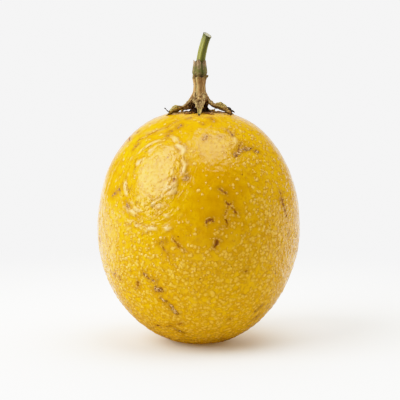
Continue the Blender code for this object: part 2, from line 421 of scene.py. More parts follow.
def rind_material():
    s = Shader("rind", RIND_COLOURS)
    place = s.place()
    flecked = s.attribute("flecked")
    ring = s.attribute("ring")

    # Yellow that drifts between golden and lemon, with a fine mottle, a few broad tanned places, painted
    # shade in the gaps between the peel's bumps, and a painted lighter yellow low down for light from the
    # floor
    s.colour = s.mix(s.step(s.noise(place, 24, detail=3), 0.35, 0.65), "golden", "lemon")
    s.tint("mottle", s.step(s.noise(place, 1.8, detail=4, roughness=0.7), 0.40, 0.66, 0, 0.75))
    s.tint_where(tan=1, gap=0.35)
    # Painted light: a lighter yellow where the flecks crowd, mostly low down, in place of light from the
    # floor
    s.tint("bright", flecked, 0.35)

    # Pale flecks, few high up and crowding together low down, where a pale net joins them
    wander = s.linear(s.noise(place, 0.9, detail=3), 1.1, -0.55)
    wavy = s.maths("ADD", place, wander, kind="VectorMath")
    cells = s.cells(wavy, FLECK_SPACING)
    lot = s.split(cells["Color"])
    radius = s.linear(lot[1], 0.42, s.linear(flecked, 0.14, 0.21))
    inward = s.maths("SUBTRACT", 1.0, s.maths("DIVIDE", cells["Distance"], radius))
    dome = s.maths("MAXIMUM", inward, 0.0)
    chosen = s.maths("LESS_THAN", lot[0], s.linear(flecked, 0.74, 0.2))
    s.tint("fleck_shadow", s.step(inward, -0.9, -0.1), s.times(chosen, 0.75))
    s.tint(s.mix(flecked, "high_fleck", "low_fleck"), s.times(s.step(dome, 0.0, 0.6), chosen), 0.95)
    s.tint("net", s.times(s.step(s.noise(place, 1.5, detail=3, roughness=0.6), 0.48, 0.64), flecked), 0.45)

    # A few dark pinholes
    pores = s.cells(wavy, PORE_SPACING)
    opened = s.maths("LESS_THAN", s.split(pores["Color"])[0], 0.3)
    s.tint("pore", s.step(pores["Distance"], 0.10, 0.05), opened)

    # Wrinkles, with painted shade in their valleys, painted shadow beside the folds and a painted highlight
    # on the crests
    wrinkle = s.noise(s.attribute("wrinkle_space", "Vector"), 0.55, detail=3, roughness=0.65)
    s.tint("valley_shade", s.times(s.step(wrinkle, 0.47, 0.34), ring), 0.75)
    # Painted shadow in a thin line beside each fold, and a painted highlight on the crests
    s.tint_where(beside=0.75, crest=0.85)

    # Scars: corky scabs with dark rims, dark cracks whose middles are darkened further with painted shade,
    # and a brownish halo round both
    to_scab, to_crack = s.attribute("scab"), s.attribute("crack")
    ragged = s.maths("SUBTRACT", s.noise(place, 0.9, detail=4, roughness=0.7), 0.5)
    scab_edge = s.linear(ragged, 3.4, to_scab)
    crack_edge = s.linear(ragged, 1.5, to_crack)
    s.tint("halo", s.step(s.maths("MINIMUM", to_scab, to_crack), 1.8, 0.0, 0, 0.7))
    scab = s.step(scab_edge, 0.1, -0.1)
    crust = s.noise(place, 1.1, detail=3, roughness=0.6, warp=0.8)
    cork = s.mix(s.step(crust, 0.43, 0.64), "cork", "pale_cork")
    cork = s.mix(s.step(s.noise(place, 0.6), 0.48, 0.56, 0, 0.9), cork, "cork_speck")
    rim = s.step(s.maths("ABSOLUTE", s.maths("ADD", scab_edge, 0.05)), 0.25, 0.05, 0, 0.8)
    s.tint(s.mix(rim, cork, "scab_rim"), scab)
    crack = s.step(crack_edge, 0.25, -0.1)
    side = s.times(s.step(crack_edge, 0.7, 0.3), s.step(s.noise(place, 0.8), 0.48, 0.6, 0, 0.5))
    s.tint("crack_side", s.maths("SUBTRACT", side, crack, clamp=True))
    s.tint(s.mix(s.step(crack_edge, 0.05, -0.3), "crack", "crack_depth_shade"), crack)

    # A brownish stain behind the stalk, partly a stain and partly painted shadow of the flower remains
    s.tint("stain_and_flower_shadow", s.attribute("stain_and_flower_shadow"), s.step(s.noise(place, 2.5, detail=3), 0.35, 0.6, 0.2, 0.85))

    # Shiny skin, duller round the stalk, with relief from peel, grain, flecks, wrinkles and scars
    scarred = s.maths("MAXIMUM", scab, crack)
    gloss = s.step(s.noise(place, 5, detail=3), 0.3, 0.7, 0.07, 0.125)
    roughness = s.linear(s.attribute("worn"), 0.5, s.linear(scarred, 0.05, gloss))
    relief = s.times(s.noise(place, 1.4, detail=3), s.attribute("peel"))
    relief = s.linear(s.noise(place, 0.5), 0.03, relief)
    relief = s.linear(s.times(dome, chosen), s.linear(flecked, 0.2, 0.2), relief)
    relief = s.linear(s.step(wrinkle, 0.54, 0.68), s.times(ring, 0.42), relief)
    relief = s.linear(s.times(scarred, ragged), 0.5, relief)
    return s.finish(roughness, relief, Specular_IOR_Level=0.62, Specular_Tint=(1.0, 0.88, 0.78, 1.0))


def bark_material():
    s = DrySkin("bark", BARK_COLOURS)
    height = s.grain[1]
    specks = s.step(s.noise(s.here, 0.55, detail=3, roughness=0.7), 0.42, 0.62)
    s.tint("speck", s.step(height, 7.2, 5.6), specks)  # below the neck
    s.tint("joint", s.times(s.step(height, 10.7, 11.3), s.step(s.noise(s.here, 1.2), 0.3, 0.5)), 0.85)
    s.tint_where(browner=1, groove=0.8, seam=0.9, shade=1)
    return s.finish(DRY_ROUGHNESS, s.linear(s.stripes, 0.12, s.times(specks, 0.05)), Specular_IOR_Level=0.2)


def sleeve_material():
    s = DrySkin("dry_sleeve", SLEEVE_COLOURS)
    height = s.grain[1]
    band = s.times(s.step(height, 11.6, 12.4), s.step(height, 15.9, 14.4))
    s.tint("green", s.times(band, s.step(s.noise(s.here, 1.3), 0.34, 0.5)), 0.8)
    # Painted shade in the creases, with the painted shade of the hollows, the rim and the inside
    s.tint_where(crease=1, shade=1)
    return s.finish(DRY_ROUGHNESS, s.times(s.stripes, 0.12), Specular_IOR_Level=0.2)


def green_material():
    s = Shader("green_bark", STEM_COLOURS)
    grain = s.attribute("grain", "Vector")
    stripes = s.noise(s.stretch(grain, (1, 0.06, 0.5)), 0.45)
    s.colour = s.mix(s.step(stripes, 0.35, 0.65), "green", "pale_green")
    # Painted shading round the stem: painted shade in the furrow facing front right, and a painted highlight
    # along the edge on the right
    furrow = s.attribute("furrow")
    s.tint("furrow", s.step(furrow, 0.25, 0.85, 0, 0.8))
    s.tint("painted_edge_light", s.step(furrow, -0.1, -0.6, 0, 0.9))
    s.tint("aged", s.step(s.split(grain)[1], 8.5, 12.5, 0, 0.8))
    cut = s.attribute("cut")
    s.tint(s.mix(s.noise(s.place(), 0.3), "pith", "pale_pith"), s.step(cut, 0.4, 0.8))
    s.tint("cut_rim", s.times(s.step(cut, 0.05, 0.35), s.step(cut, 0.75, 0.5)), 0.8)
    return s.finish(0.5, s.times(stripes, 0.08), Coat_Weight=0.15, Coat_Roughness=0.3)


def leaf_material():
    s = DrySkin("dry_leaf", LEAF_COLOURS, fibre=0.45)
    along = s.attribute("along")
    s.tint("green", s.times(s.step(along, 0.4, 0.6), s.step(s.noise(s.here, 1.6), 0.36, 0.55)), 0.8)
    specks = s.step(s.noise(s.here, 0.5, detail=3, roughness=0.7), 0.48, 0.62)
    s.tint("speck", specks, s.step(along, 0.5, 0.3, 0.85, 1.0))
    # The underside dark: partly the dried inner side's own colour, partly painted shade
    s.tint("under", s.step(s.grain[2], 0.1, -0.35, 0, 0.85))
    s.tint("tip", s.step(along, 0.9, 1.0, 0, 0.95))
    return s.finish(DRY_ROUGHNESS, s.linear(s.stripes, 0.10, s.times(specks, -0.05)), Specular_IOR_Level=0.2)


def withered_material(name, palette):
    s = Shader(name, palette)
    stripes = s.fibres((1, 0.15, 0.5), 0.3)
    s.colour = s.mix(s.step(stripes, 0.35, 0.7), "dark", "pale")
    s.tint("patch", s.step(s.noise(s.place(), 1.1), 0.52, 0.66, 0, 0.7))
    return s.finish(0.8, s.times(stripes, 0.1), Specular_IOR_Level=0.15)


# ---------------------------------------------------------------- fruit

# Swells and dents all over the skin: (height, how much more low down, size, seed)
UNEVENNESS = [
    (0.34, 0, 26, 1), (0.14, 0, 11, 2), (0.05, 0, 5, 3), (0.04, 0.06, 3, 6), (0.02, 0.07, 1.8, 4),
]

# Raised folds of the wrinkled patch: (height, half width, places along the fold)
FOLDS = [
    (0.24, 0.50, [(-28, 70), (-21, 69), (-16, 67), (-12, 66.5), (-10.5, 65), (-10, 63)]),
    (0.20, 0.42, [(-10.5, 63), (-8.5, 61.5), (-9, 59.5), (-8, 57.5)]),
    (0.18, 0.40, [(-21, 53), (-17, 54.5), (-13.5, 56)]), (0.18, 0.40, [(-13, 55.5), (-15, 53), (-18, 52)]),
    (0.32, 0.45, [(-48, 48.3), (-42, 46.6), (-36.5, 45.2)]),
    (0.20, 0.40, [(-44, 43.5), (-39, 43), (-36, 42), (-32, 41.5)]),
    (0.20, 0.40, [(-31, 40.5), (-28, 41.5), (-24, 41.5), (-22, 41)]),
    (0.20, 0.40, [(-20, 41), (-17, 42), (-14, 43)]), (0.20, 0.45, [(-52, 56), (-50, 54), (-47, 52)]),
    (0.14, 0.38, [(-47, 65), (-42, 67), (-35, 68), (-29, 68)]), (0.16, 0.40, [(-25, 48), (-19, 49)]),
    (0.14, 0.40, [(-20, 45), (-16, 46)]), (0.16, 0.40, [(-31, 46.5), (-28, 45.5)]),
    (0.14, 0.40, [(-52, 59), (-54, 61.5), (-51, 64)]), (0.12, 0.40, [(-10, 46), (-8, 47.5)]),
    (0.08, 0.80, [(-64, 69), (-53, 70), (-41, 71), (-31, 72), (-27, 74)]),
    (0.12, 0.60, [(30, 72), (33, 70), (33, 68), (26, 66), (21, 65)]),
    (0.13, 0.42, [(-72, 55), (-74, 49), (-72, 43), (-66, 38), (-60, 34)]),
    (0.06, 0.50, [(-66, 62), (-69, 55), (-70, 47), (-66, 41)]),
]

# Patches of fine folds round a centre: (longitude, height, half width, half height, tilt, fold height)
WRINKLE_PATCHES = [
    (-30.5, 58.5, 7.8, 10.4, -20, 0.20), (158, 50, 9.0, 7.5, 25, 0.24), (-122, 33, 6.0, 8.5, -35, 0.18),
]
FOLD_LENGTH, FOLD_SPACING = 3.6, 1.5

# Broad places on the skin: (longitude, height, reach in mm, strength)
TANNED = [
    (20, 50, 9, 0.55), (11, 43, 6, 0.5), (28, 40, 9, 0.35), (9, 37, 4, 0.4), (20, 32, 9, 0.25),
    (-14, 37, 4, 0.3), (-27, 24, 4.5, 0.5), (-20, 17, 4.5, 0.45), (56, 48, 4, 0.3), (-24, 8, 5, 0.45),
    (50, 12, 5, 0.4), (-8, 42, 13, 0.3), (0, 55, 9, 0.2), (34, 60, 14, 0.25), (46, 40, 13, 0.2),
    (120, 44, 11, 0.4), (172, 26, 9, 0.45), (215, 56, 8, 0.4), (245, 24, 8, 0.35),
]
FLECKED = [
    (58, 52, 15, 0.45), (44, 66, 12, 0.35), (24, 42, 9, -0.15), (-8, 44, 12, -0.5), (-52, 40, 9, -0.25),
    (10, 52, 12, -0.25), (-32, 58, 12, -0.3), (140, 60, 13, 0.45), (225, 50, 13, 0.4),
]
SCALLOPED = [(14, 66, 15, 0.2), (-29, 53, 15, 0.2), (-64, 46, 13, -0.14)]
FLECK_SPACING, PORE_SPACING = 1.2, 3.4

# Corky scabs, and dark cracks and pits: (half width, places along them)
SCABS = [
    (0.55, [(26.5, 64), (30.5, 64.5), (34.5, 65.3)]), (0.60, [(35.5, 65.5), (39, 65.5), (42, 65.4)]),
    (0.40, [(36, 66.7)]), (0.40, [(45, 64.5), (49, 64.5)]), (0.40, [(-57, 65), (-55.5, 66.5)]),
    (0.35, [(-28.5, 69.5), (-28.5, 71)]), (0.36, [(-21, 71.8), (-20.4, 72.7)]), (0.30, [(5.8, 73.0)]),
    (0.25, [(-17, 74.3), (-14, 74.8)]), (0.45, [(5.7, 68.8), (7, 69.7)]),
    (0.40, [(-60, 50.4), (-56, 52), (-54.5, 52.3)]), (0.42, [(-45.5, 48.6), (-43, 47.6)]),
    (0.38, [(-8.5, 57), (-6.5, 57.5)]), (0.22, [(-21, 37.7), (-18, 37.7)]),
    (0.40, [(-33, 27), (-31, 26), (-29.5, 25.4)]), (0.22, [(-28.3, 24.7), (-25, 24.9)]),
    (0.95, [(-26.5, 21.8), (-23.5, 21.7)]), (0.45, [(-24, 18.7), (-21.5, 17.5)]),
    (0.60, [(-18.5, 16.5), (-17, 15), (-14.8, 13.7)]),
    (0.30, [(-27.5, 8.2), (-23.5, 9.2), (-22, 8), (-17.5, 6.9), (-14, 6.2)]),
    (0.30, [(46, 13.2), (47, 14.2), (49.5, 14.8)]), (0.35, [(20.5, 74.7), (20.4, 73.7)]),
    (0.28, [(31, 71), (31.5, 69.7)]),
]
CRACKS = [
    (0.50, [(5, 44.2), (6, 44.6), (7.6, 44.8)]), (0.60, [(9, 36.5), (9.7, 37.5), (10.2, 38.3)]),
    (0.20, [(15.3, 50.2), (17, 49.2), (19, 49.8)]),
    (0.14, [(17, 49.2), (15.2, 46.8), (14.3, 45.3), (16, 43.4), (15.4, 42.5)]),
    (0.12, [(17.5, 48.9), (20, 48), (21.5, 46.4)]), (0.22, [(12.5, 42.3)]),
    (0.35, [(-14.6, 57.3), (-14.5, 56.6)]), (0.18, [(12.3, 54.2), (14, 53.5), (15.8, 52.6)]),
    (0.16, [(-13.8, 39.1), (-11.8, 37.6), (-10, 36.4), (-8, 35.4)]),
    (0.14, [(-20.4, 36.7), (-18.2, 34.9), (-17, 33.7)]), (0.42, [(-38.4, 23.5), (-39.6, 22.4)]),
    (0.14, [(-39.6, 22.4), (-42, 21)]), (0.12, [(-61.5, 24.4), (-57, 25.5)]),
    (0.12, [(-55.3, 24.6), (-54.3, 23.3)]), (0.30, [(-16, 9.8), (-13.3, 10.3)]),
    (0.28, [(-38.5, 8.1), (-35, 8.3)]), (0.22, [(24, 11.5)]), (0.26, [(48.5, 10.1), (52, 11.3)]),
    (0.16, [(27, 27.8), (28, 28.4)]), (0.14, [(60.5, 37.6), (61.6, 38.2)]),
    (0.16, [(18, 69.3), (21.4, 69.3)]), (0.16, [(55.8, 50.5), (55.5, 49)]),
    (0.14, [(-30, 73.6), (-34, 72.4), (-35.3, 71.9), (-42, 71), (-50.4, 69.6), (-58, 67.4)]),
    (0.12, [(-6.3, 75.4), (3, 75)]), (0.26, [(55.6, 51.6), (56.4, 51.2)]),
    (0.24, [(54.2, 49.9), (54.0, 49.3)]), (0.34, [(56.2, 49.2), (56.0, 48.4), (56.8, 47.6)]),
    (0.24, [(57.2, 46.4), (57.6, 45.2)]), (0.30, [(58.2, 44.2), (58.4, 43.6)]),
    (0.16, [(30, 64.6), (34, 66.9), (36, 67.2)]),
]
MORE_MARKS = 58  # on the sides and the back


def crown_height(share):
    free = UPPER_REACH * (1 - np.minimum(share, 1) ** UPPER_FULLNESS) ** (1 / UPPER_FULLNESS)
    return -CROWN_BLEND * np.logaddexp(-free / CROWN_BLEND, -CROWN / CROWN_BLEND)


def skin_drop(reach):
    """How far the skin lies below the top of the fruit, this far from the axis."""
    return crown_height(0) - crown_height(reach / RADIUS)


def smooth_skin(directions):
    """The fruit's skin before any unevenness, for points of the unit sphere."""
    x, y, z = directions.T
    flat = np.maximum(np.hypot(x, y), 1e-9)
    share = np.where(z >= 0, flat ** (2 / UPPER_FULLNESS), flat ** (2 / LOWER_FULLNESS))
    lower = WAIST - LOWER_REACH * np.abs(z) ** (2 / LOWER_FULLNESS)
    lower = SPOT_BLEND * np.logaddexp(0, lower / SPOT_BLEND)
    height = np.where(z >= 0, WAIST + crown_height(share), lower)
    scale = RADIUS * share / flat
    return columns(x * scale, y * scale * DEPTH_SHARE, height)


def outward(points):
    """The direction square to the skin, near enough, at points on it."""
    x, y, height = points.T
    reach = np.where(height > WAIST, UPPER_REACH, LOWER_REACH)
    return unit(columns(x, y / DEPTH_SHARE**2, (height - WAIST) * (RADIUS / reach) ** 2))


def skin_place(longitude, height):
    level = height - WAIST
    reach, fullness = (UPPER_REACH, UPPER_FULLNESS) if level > 0 else (LOWER_REACH, LOWER_FULLNESS)
    share = (1 - (abs(level) / reach) ** fullness) ** (1 / fullness)
    turn = radians(longitude)
    return np.array((RADIUS * share * sin(turn), -RADIUS * DEPTH_SHARE * share * cos(turn), height))


def distance_to(route, points):
    """How far each point is from a line through places on the skin, and where along it, from 0 to 1."""
    places = [skin_place(*place) for place in route]
    if len(places) == 1:
        return np.linalg.norm(points - places[0], axis=1), np.full(len(points), 0.5)
    nearest, along = np.full(len(points), np.inf), np.zeros(len(points))
    for i, (start, end) in enumerate(zip(places, places[1:])):
        step = end - start
        share = np.clip((points - start) @ step / (step @ step), 0, 1)
        distance = np.linalg.norm(points - start - share[:, None] * step, axis=1)
        closer = distance < nearest
        nearest[closer] = distance[closer]
        along[closer] = (i + share[closer]) / (len(places) - 1)
    return nearest, along


def broad_places(points, places):
    total = np.zeros(len(points))
    for longitude, height, reach, strength in places:
        total += strength * bell(distance_to([(longitude, height)], points)[0] * 1.4 / reach)
    return total


def unit_sphere(cuts):
    """Points of the unit sphere on six even patches of squares, and the squares."""
    line = np.tan(np.linspace(-pi / 4, pi / 4, cuts + 1))
    a, b = (grid.ravel() for grid in np.meshgrid(range(cuts + 1), range(cuts + 1), indexing="ij"))
    corner = np.arange(cuts) * (cuts + 1)
    square = (corner[:, None] + np.arange(cuts)[None]).ravel()
    squares = np.column_stack((square, square + cuts + 1, square + cuts + 2, square + 1))
    lattice, faces = [], []
    for axis in range(3):
        for end in (0, cuts):
            patch = np.empty((len(a), 3), int)
            patch[:, axis] = end
            patch[:, (axis + 1) % 3] = a
            patch[:, (axis + 2) % 3] = b
            faces.append((squares if end else squares[:, ::-1]) + len(lattice) * len(a))
            lattice.append(patch)
    lattice, index = np.unique(np.vstack(lattice), axis=0, return_inverse=True)
    return unit(line[lattice]), index.ravel()[np.vstack(faces)]


def scattered_marks(count, seed):
    """Small scabs and cracks for the sides and the back, like those of the front's tables."""
    draw = random.Random(seed)
    scabs, cracks = [], []
    for _ in range(count):
        longitude, height = draw.uniform(75, 290), WAIST + draw.uniform(-0.85, 0.85) * CROWN
        heading, route = draw.uniform(0, 2 * pi), []
        for _ in range(draw.choice((1, 2, 2, 3, 4))):
            route.append((longitude, height))
            share = sqrt(1 - ((height - WAIST) / (CROWN * 1.02)) ** 2)
            stride = draw.uniform(0.7, 2.0)
            heading += draw.uniform(-0.9, 0.9)
            longitude += degrees(stride * cos(heading) / (RADIUS * share))
            height = min(max(height + stride * sin(heading) * share, 4), 72)
        if draw.random() < 0.45:
            scabs.append((draw.uniform(0.2, 0.6), route))
        else:
            cracks.append((draw.uniform(0.10, 0.32), route))
    return scabs, cracks


def patch_folds(points, longitude, height, half_width, half_height, tilt, fold_height):
    """Broken folds that run round the middle of a wrinkled patch and fade away from it.

    Gives their height, how strongly the patch shows, and a place for its noise that runs along the folds.
    """
    centre = skin_place(longitude, height)
    out = outward(centre[None])[0]
    east = np.array((cos(radians(longitude)), sin(radians(longitude)), 0))
    up = np.cross(out, east)
    lean = radians(tilt)
    offset = points - centre
    across = offset @ (east * cos(lean) + up * sin(lean)) / half_width
    upward = offset @ (up * cos(lean) - east * sin(lean)) / half_height
    near = np.abs(offset @ out) < 14  # not on the far side of the fruit
    share = np.hypot(across, upward)
    size = (half_width + half_height) / 2
    ways = columns(across / share, upward / share) * size / FOLD_LENGTH
    far = np.maximum(share * size, 0.1) / FOLD_SPACING
    wander = 0.5 * noise_at(points, 5, 41)
    space = np.column_stack((ways, far + wander))
    dashes = noise_at(space, 1, 42)
    creases = noise_at(np.column_stack((ways * 1.3, far * 1.7 + wander)), 1, 43)
    ring = smooth_step(0.70, 0.95, share) * smooth_step(1.75, 1.0, share)
    ring *= 1 - 0.6 * smooth_step(0.3, 0.9, upward / np.maximum(share, 0.01))
    folds = ring * (smooth_step(0.15, 0.5, dashes) + 0.3 * smooth_step(0.1, 0.5, creases))
    folds += 0.08 * smooth_step(1.0, 0.6, share) * smooth_step(0.0, 0.4, creases)
    return near * fold_height * folds, near * (0.12 + 0.88 * ring) * smooth_step(2.2, 1.5, share), space


def pebbles(points, size):
    """Low rounded bumps packed side by side, as on orange peel: 0 between them, 1 on top."""
    near = np.array([noise.voronoi(point)[0][:2] for point in (points / size).tolist()])
    return smooth_step(0, 0.6, near[:, 1] - near[:, 0])


def wrinkle_relief(points, wavy):
    """The height of all folds, and the attributes that colour them, with painted shadow beside the folds and
    a painted highlight on their crests.
    """
    relief, crest, beside, ring = np.zeros((4, len(points)))
    whole = smooth_step(-0.55, 0.1, noise_at(points, 2.2, 16))  # lower where the folds are broken
    for fold_height, half_width, route in FOLDS:
        distance, along = distance_to(route, wavy)
        taper = whole * np.sqrt(np.sin(pi * np.clip(along, 0.04, 0.96)))
        ridge = taper * bell(distance / half_width)
        moat = taper * bell(distance / (2.6 * half_width))
        relief += fold_height * (2.1 * ridge - 0.45 * moat)
        strength = min(fold_height / 0.2, 1)
        # the fold's crest, painted with a highlight
        crest = np.maximum(crest, 1.25 * ridge**2.5 * strength)
        # a thin line of painted shadow beside the fold
        beside = np.maximum(beside, taper * strength * bell((distance - 2.1 * half_width) / 0.3))
    wrinkle_space = points / 3
    for patch in WRINKLE_PATCHES:
        folds, strength, space = patch_folds(points, *patch)
        relief += folds
        # the patch's crests, painted with a highlight too
        crest = np.maximum(crest, 0.7 * smooth_step(0.35, 0.9, folds / patch[-1]))
        wrinkle_space[strength > 0] = space[strength > 0]
        ring = np.maximum(ring, strength)
    looks = {"crest": np.clip(crest, 0, 1), "beside": beside, "ring": ring, "wrinkle_space": wrinkle_space}
    return relief, looks


def mark_distances(wavy):
    """Each point's distance to the edge of the nearest scab and the nearest crack, at most 3 mm."""
    more_scabs, more_cracks = scattered_marks(MORE_MARKS, 5)
    marks = {}
    for name, routes in (("scab", SCABS + more_scabs), ("crack", CRACKS + more_cracks)):
        edges = [distance_to(route, wavy)[0] - half_width for half_width, route in routes]
        marks[name] = np.minimum(3.0, np.min(edges, axis=0))
    return marks


def make_fruit(finish):
    directions, faces = unit_sphere(SKIN_CUTS)
    points = smooth_skin(directions)
    height = points[:, 2]
    wavy = points + 0.45 * noise_vectors(points, 2.4, 11) + 0.25 * noise_vectors(points, 1.1, 14)
    low_down = smooth_step(58, 26, height)
    pebble = pebbles(wavy, 1.8)
    streaks = noise_at(wavy * (1, 1, 0.22), 1.3, 8) * smooth_step(-0.1, 0.35, noise_at(points, 17, 9))
    relief, looks = wrinkle_relief(points, wavy)
    for amount, more, size, seed in UNEVENNESS:
        relief += (amount + more * low_down) * noise_at(points, size, seed)
    relief += (0.03 + 0.11 * low_down) * pebble + 0.07 * streaks * smooth_step(20, 34, height)
    marks = mark_distances(wavy)
    relief += 0.10 * smooth_step(0.2, -0.3, marks["scab"]) - 0.08 * smooth_step(0.9, 0.2, marks["scab"])
    relief -= 0.18 * smooth_step(0.25, -0.3, marks["crack"])

    # The blossom end: a small sunken scar, and nothing that reaches below the floor
    reach = np.hypot(points[:, 0], points[:, 1])
    relief -= 0.5 * bell(reach / 1.1) * (height < WAIST)
    relief *= smooth_step(0, 1.2, height) * 0.85 + 0.15
    moved = points + outward(points) * relief[:, None]
    moved[:, 2] = np.maximum(moved[:, 2], 0)
    fruit = add_piece("passion_fruit_rind", moved, faces.tolist(), "fruit", finish)

    flecked = smooth_step(58, 32, height + 12 * noise_at(points, 12, 18)) + broad_places(points, FLECKED)
    tan = broad_places(points, TANNED) * (0.75 + 0.6 * noise_at(points, 3, 19))
    peel = 0.06 + 0.10 * smooth_step(0.25, 0.0, looks["ring"]) + 0.25 * low_down
    peel += broad_places(points, SCALLOPED)
    from_stalk = np.hypot(points[:, 0] - STALK_X, points[:, 1]) + 3 * noise_at(points, 4, 61)  # ragged
    behind = smooth_step(-4, 2, points[:, 1])
    looks |= marks | {
        "flecked": np.clip(flecked, 0, 1),
        "tan": np.clip(tan, 0, 0.8),
        # painted shade between the bumps of the peel, strongest low down
        "gap": (1 - pebble) * (0.25 + 0.75 * low_down),
        "peel": peel * (0.8 + noise_at(points, 9, 20)),
        "worn": smooth_step(13, 8, from_stalk) * (height > WAIST),
        # partly a stain, partly painted shadow of the flower remains
        "stain_and_flower_shadow": smooth_step(12, 6, from_stalk) * behind * (height > WAIST),
    }
    add_attributes(fruit, **looks)


# ---------------------------------------------------------------- flower remains

STALK_PROFILE = [  # (radius, height), down the outside from the top of the joint
    (0.6, 12.5), (2.1, 12.45), (2.5, 12.1), (2.45, 11.5), (2.2, 10.6), (1.98, 9.4), (1.95, 8.4), (2.05, 7.2),
    (2.35, 6.1), (2.85, 5.1), (3.15, 4.4), (2.9, 3.9), (1.9, 3.4), (1.3, 2.6), (1.15, 1.2), (1.4, 0.05),
]
STALK_RIBS = 9
SEAM = radians(-117)  # the way the pale line down the neck faces
BUD_ROUTE, BUD_RADII = [(2.0, -0.1, 11.6), (2.5, -0.15, 11.9), (2.95, -0.15, 12.05)], (0.6, 0.5, 0.25)
JOINT_HOLLOWS = [  # (direction in degrees, height, size)
    (-120, 11.95, 0.45), (-70, 11.95, 0.65), (20, 11.9, 0.5), (110, 11.8, 0.6), (175, 11.9, 0.5),
]

SHEATH_PROFILE = [  # (radius, height)
    (2.15, 12.3), (2.4, 12.9), (2.36, 13.8), (2.2, 15.0), (2.05, 16.2), (1.95, 17.4),
]
SHEATH_WALL = 0.28
SHEATH_RIM = [  # (direction in degrees, how far the torn rim lies below its highest point)
    (-180, 0.4), (-150, 0.2), (-128, 0.9), (-108, 0.1), (-90, 0.0), (-66, 1.6), (-46, 0.5), (-25, 0.3),
    (5, 1.1), (30, 0.3), (62, 0.2), (85, 1.4), (112, 0.5), (145, 0.9), (180, 0.4),
]

STEM_ROUTE = [  # (x, y, height, radius)
    (0.38, 0.0, 12.2, 1.42), (0.55, 0.0, 15.0, 1.42), (0.9, 0.0, 17.5, 1.41), (1.35, -0.05, 20.0, 1.4),
    (1.98, -0.15, 22.5, 1.36), (2.6, -0.3, 24.4, 1.38), (2.95, -0.4, 25.2, 1.5),
]
STEM_RIBS = 5
STEM_FURROW = radians(-66)  # the way one of the furrows faces
CUT_TILT = unit(np.array((0.62, -0.30, 1.0)))  # the way the cut end faces
CUT_RINGS = [  # (share of the rim's radius, depth below it, tone from bark at 0 to pith at 1)
    (0.93, -0.05, 0.45), (0.86, 0.06, 0.7), (0.6, 0.12, 1.0), (0.3, 0.2, 1.0),
]

# Sepals: direction, sideways bend, and a route of (reach, height, half width, half thickness)
SEPALS = {
    "sepal_front": (-92, 0.25, [
        (1.2, 6.9, 1.0, 0.40), (2.3, 5.3, 1.9, 0.65), (3.3, 3.7, 2.0, 0.75), (4.4, 2.5, 1.5, 0.7),
        (5.4, 1.6, 0.85, 0.55), (6.6, 0.95, 0.62, 0.5), (7.7, 0.2, 0.55, 0.4), (8.4, -0.5, 0.1, 0.1),
    ]),
    "sepal_right": (-17, -0.5, [
        (1.1, 7.0, 1.0, 0.4), (2.4, 4.6, 1.4, 0.55), (4.3, 2.85, 1.25, 0.6), (5.8, 2.55, 1.25, 0.85),
        (7.0, 2.5, 1.4, 1.1), (8.9, 1.5, 1.2, 0.85), (10.3, 0.4, 0.7, 0.7), (11.0, -0.3, 0.2, 0.3),
    ]),
    "sepal_back_right": (56, 0.6, [
        (1.1, 7.0, 1.0, 0.4), (2.2, 4.7, 1.5, 0.5), (2.9, 2.4, 1.4, 0.5), (4.0, 0.6, 1.3, 0.5),
        (5.5, 0.1, 1.4, 0.5), (7.2, 0.0, 1.4, 0.55), (8.8, -0.5, 0.9, 0.45), (9.7, -1.1, 0.15, 0.15),
    ]),
    "sepal_back_left": (127, -0.4, [
        (1.1, 7.0, 1.0, 0.4), (2.4, 4.6, 1.5, 0.55), (4.1, 2.6, 1.4, 0.65), (5.6, 1.6, 1.3, 0.65),
        (7.2, 1.3, 1.5, 0.7), (8.8, 0.8, 1.2, 0.6), (9.8, 0.1, 0.6, 0.5), (10.3, -0.4, 0.15, 0.15),
    ]),
    "sepal_left": (197, 0.5, [
        (1.1, 7.0, 1.0, 0.4), (2.4, 4.5, 1.4, 0.55), (4.2, 2.95, 1.25, 0.45), (5.9, 1.95, 1.1, 0.42),
        (7.6, 1.75, 1.6, 1.0), (9.2, 1.0, 1.15, 0.7), (10.5, -0.1, 0.5, 0.36), (11.4, -0.75, 0.15, 0.15),
    ]),
}

# The horn near the tip of each sepal: radius at its foot, and a route of (reach, sideways, height)
AWNS = {
    "sepal_front": (0.25, [(7.7, 0.1, 0.3), (8.3, 0.15, -0.2), (8.7, 0.1, -0.6)]),
    "sepal_right": (0.5, [
        (9.2, -0.1, 1.6), (9.9, -0.1, 1.75), (10.6, -0.1, 1.0), (11.3, -0.2, 0.75), (12.0, -0.3, 0.45),
    ]),
    "sepal_back_right": (0.25, [(8.6, 0.0, -0.4), (9.5, 0.4, 0.2), (10.2, 0.9, 0.4)]),
    "sepal_back_left": (0.28, [(9.0, 0.0, 0.9), (10.0, -0.3, 1.1), (10.9, -0.8, 0.9)]),
    "sepal_left": (0.24, [(9.9, 0.0, 0.4), (10.8, 0.1, 0.9), (11.5, 0.3, 1.5), (11.9, 0.4, 1.9)]),
}

PETALS = {  # direction in degrees, reach of the tip
    "petal_front_right": (-56, 8.2), "petal_right": (7, 11.2), "petal_back": (92, 8.6),
    "petal_left": (181, 9.9), "petal_front_left": (-131, 7.6),
}
PETAL_ROOT = 2.6
THREADS = 84


def on_fruit(points, direction=0):
    """Moves points (reach, sideways, height over the fruit's top) to their place, turned round Z."""
    reach, sideways, height = np.moveaxis(points, -1, 0)
    turn = radians(direction)
    x = reach * cos(turn) - sideways * sin(turn) + STALK_X
    return columns(x, reach * sin(turn) + sideways * cos(turn), height + FRUIT_TOP)


def off_fruit(points, direction=0):
    """The way back from on_fruit."""
    x, y, height = (points - (STALK_X, 0, FRUIT_TOP)).T
    turn = radians(direction)
    return columns(x * cos(turn) + y * sin(turn), y * cos(turn) - x * sin(turn), height)


def level_ring(radius, turn, height):
    return columns(radius * np.cos(turn), radius * np.sin(turn), height)


